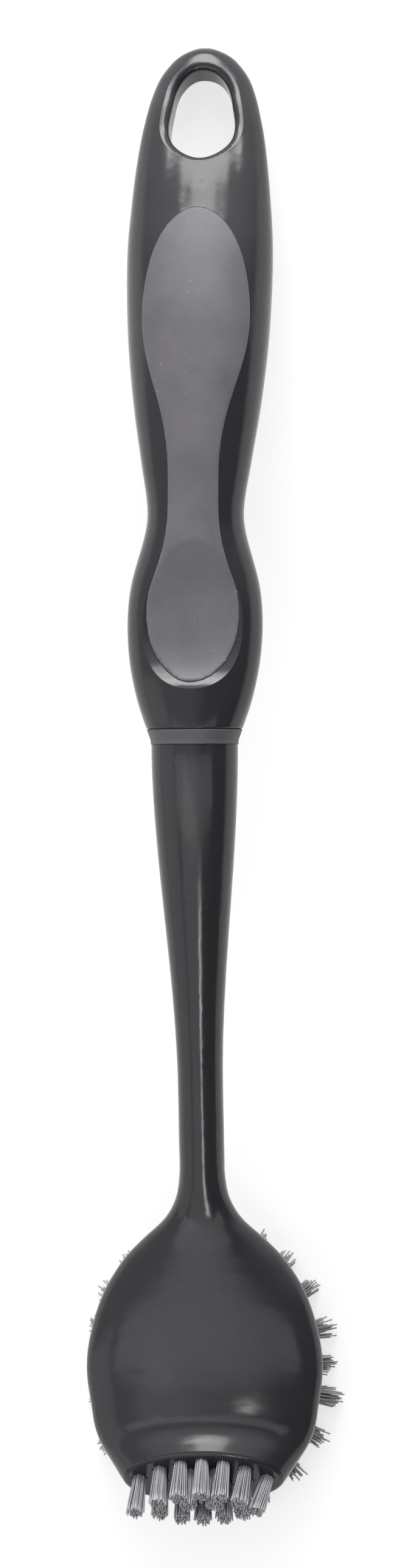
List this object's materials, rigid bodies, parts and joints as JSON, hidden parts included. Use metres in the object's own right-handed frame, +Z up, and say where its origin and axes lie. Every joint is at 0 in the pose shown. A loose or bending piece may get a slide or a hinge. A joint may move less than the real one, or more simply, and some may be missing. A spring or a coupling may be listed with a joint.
{
  "type": "dish brush",
  "caption": "Dish brush with an arched handle, soft grip pad, hanging hole, oval bristle head and a raised nose with front bristles.",
  "frame": {"origin": "middle of the footprint, on the table that the bristle tips and the handle end rest on", "axes": "+Y along the brush towards the hanging hole, +Z up, +X across"},
  "size_m": [0.0476, 0.291, 0.0432],
  "materials": {
    "grip_plastic": "gloss moulded polypropylene, dark grey",
    "stem_plastic": "gloss moulded polypropylene, dark grey",
    "soft_pad": "matte thermoplastic elastomer, mid grey",
    "soft_collar": "matte thermoplastic elastomer, mid grey",
    "front_bristle": "nylon filament, grey",
    "underside_bristle": "nylon filament, grey",
    "anchor_wire": "bright flat wire"
  },
  "bodies": {
    "root": {"collar_ring": "soft_collar", "front_anchors_lower": "anchor_wire", "front_anchors_middle": "anchor_wire", "front_anchors_upper": "anchor_wire", "front_tuft_lower_1": "front_bristle", "front_tuft_lower_2": "front_bristle", "front_tuft_lower_3": "front_bristle", "front_tuft_lower_4": "front_bristle", "front_tuft_lower_5": "front_bristle", "front_tuft_middle_1": "front_bristle", "front_tuft_middle_2": "front_bristle", "front_tuft_upper_1": "front_bristle", "front_tuft_upper_2": "front_bristle", "front_tuft_upper_3": "front_bristle", "front_tuft_upper_4": "front_bristle", "front_tuft_upper_5": "front_bristle", "front_tuft_upper_6": "front_bristle", "front_tuft_upper_7": "front_bristle", "grip_pad": "soft_pad", "handle_body": "grip_plastic", "stem_and_head": "stem_plastic", "underside_anchors_ring_1": "anchor_wire", "underside_anchors_ring_2": "anchor_wire", "underside_anchors_ring_3": "anchor_wire", "underside_anchors_ring_4": "anchor_wire", "underside_tufts_ring_1": "underside_bristle", "underside_tufts_ring_2": "underside_bristle", "underside_tufts_ring_3": "underside_bristle", "underside_tufts_ring_4": "underside_bristle"}
  },
  "joints": []
}
